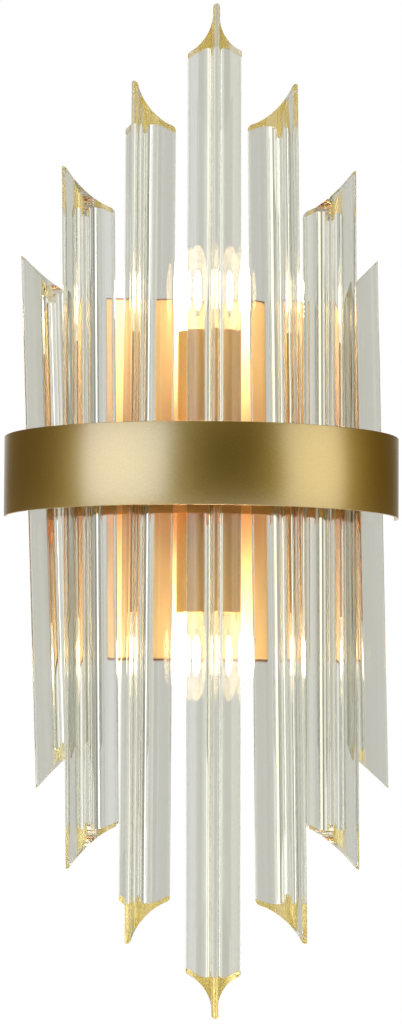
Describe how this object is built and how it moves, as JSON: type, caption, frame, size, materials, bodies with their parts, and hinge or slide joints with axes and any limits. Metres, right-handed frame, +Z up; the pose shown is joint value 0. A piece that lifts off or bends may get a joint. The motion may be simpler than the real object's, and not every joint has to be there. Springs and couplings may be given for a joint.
{
  "type": "crystal wall sconce",
  "caption": "Half-round wall sconce with vertical three-lobed crystal rods of stepped length behind a satin gold band, lit up and down by round bulbs.",
  "frame": {"origin": "on the wall, at the middle of the wall bracket's back face", "axes": "+Z up, +X to the right seen from the room, +Y into the wall"},
  "size_m": [0.2, 0.122, 0.4936],
  "materials": {
    "satin_gold": "satin gold plating",
    "gold_paint": "gold paint on sheet steel",
    "zinc_steel": "bright zinc plating",
    "raw_brass": "turned brass",
    "crystal": "clear polished cast crystal",
    "lamp_glass": "frosted lamp glass",
    "lamp_base": "nickel plated shell",
    "insulator": "dark vitrified insulator",
    "white_moulding": "moulded polyamide",
    "lead_brown": "brown lead insulation",
    "lead_blue": "blue lead insulation",
    "lead_green": "green and yellow lead insulation"
  },
  "bodies": {
    "fixture": {"wall_bracket": "zinc_steel", "back_plate": "gold_paint", "side_screws": "zinc_steel", "support_bar": "gold_paint", "outer_band": "satin_gold", "band_nuts": "zinc_steel", "inner_ring": "gold_paint", "frame_screws": "zinc_steel", "frame_nuts": "zinc_steel", "arm_nipple": "raw_brass", "arm_nut": "raw_brass", "arm_collar": "satin_gold", "lamp_tube": "satin_gold", "junction_block": "raw_brass", "holder_nipples": "raw_brass", "holder_nuts": "raw_brass", "contact_sleeves": "raw_brass", "contact_springs": "raw_brass", "crystal_screws": "zinc_steel", "crystal_spacers": "raw_brass", "terminal_block": "white_moulding", "terminal_sleeves": "raw_brass", "terminal_screws": "zinc_steel", "terminal_fixings": "zinc_steel", "earth_lug": "raw_brass", "earth_nut": "zinc_steel", "earth_lead": "lead_green", "lampholder_upper": "white_moulding", "lead_brown_upper": "lead_brown", "lead_blue_upper": "lead_blue", "lampholder_lower": "white_moulding", "lead_brown_lower": "lead_brown", "lead_blue_lower": "lead_blue"},
    "rod_left_outer": {"crystal_left_outer": "crystal", "bush_left_outer": "raw_brass"},
    "rod_left_second": {"crystal_left_second": "crystal", "bush_left_second": "raw_brass"},
    "rod_left_first": {"crystal_left_first": "crystal", "bush_left_first": "raw_brass"},
    "rod_middle": {"crystal_middle": "crystal", "bush_middle": "raw_brass"},
    "rod_right_first": {"crystal_right_first": "crystal", "bush_right_first": "raw_brass"},
    "rod_right_second": {"crystal_right_second": "crystal", "bush_right_second": "raw_brass"},
    "rod_right_outer": {"crystal_right_outer": "crystal", "bush_right_outer": "raw_brass"},
    "bulb_upper": {"bulb_glass_upper": "lamp_glass", "bulb_base_upper": "lamp_base", "bulb_contact_upper": "insulator"},
    "bulb_lower": {"bulb_glass_lower": "lamp_glass", "bulb_base_lower": "lamp_base", "bulb_contact_lower": "insulator"}
  },
  "joints": [
    {"name": "swing_left_outer", "type": "hinge", "parent": "fixture", "child": "rod_left_outer", "pos_m": [-0.07452, -0.04016, 0], "axis": [-0.9709, -0.2368, -0.0354], "range_deg": [-0.4, 0.4]},
    {"name": "swing_left_second", "type": "hinge", "parent": "fixture", "child": "rod_left_second", "pos_m": [-0.06069, -0.0689, 0], "axis": [-0.7911, -0.6115, -0.011], "range_deg": [-0.4, 0.4]},
    {"name": "swing_left_first", "type": "hinge", "parent": "fixture", "child": "rod_left_first", "pos_m": [-0.03482, -0.09034, 0], "axis": [-0.454, -0.891, 0.0005], "range_deg": [-0.4, 0.4]},
    {"name": "swing_middle", "type": "hinge", "parent": "fixture", "child": "rod_middle", "pos_m": [-0.00013, -0.0987, 0], "axis": [-0.0017, -1, 0], "range_deg": [-0.4, 0.4]},
    {"name": "swing_right_first", "type": "hinge", "parent": "fixture", "child": "rod_right_first", "pos_m": [0.03362, -0.09094, 0], "axis": [0.4383, -0.8988, 0.0067], "range_deg": [-0.4, 0.4]},
    {"name": "swing_right_second", "type": "hinge", "parent": "fixture", "child": "rod_right_second", "pos_m": [0.06052, -0.06912, 0], "axis": [0.7891, -0.6143, 0.0061], "range_deg": [-0.4, 0.4]},
    {"name": "swing_right_outer", "type": "hinge", "parent": "fixture", "child": "rod_right_outer", "pos_m": [0.07502, -0.03795, 0], "axis": [0.9779, -0.2079, 0.0225], "range_deg": [-0.4, 0.4]},
    {"name": "take_out_bulb_upper", "type": "slide", "parent": "fixture", "child": "bulb_upper", "axis": [0, 0, 1], "range_m": [0, 0.045]},
    {"name": "take_out_bulb_lower", "type": "slide", "parent": "fixture", "child": "bulb_lower", "axis": [0, 0, -1], "range_m": [0, 0.045]}
  ]
}
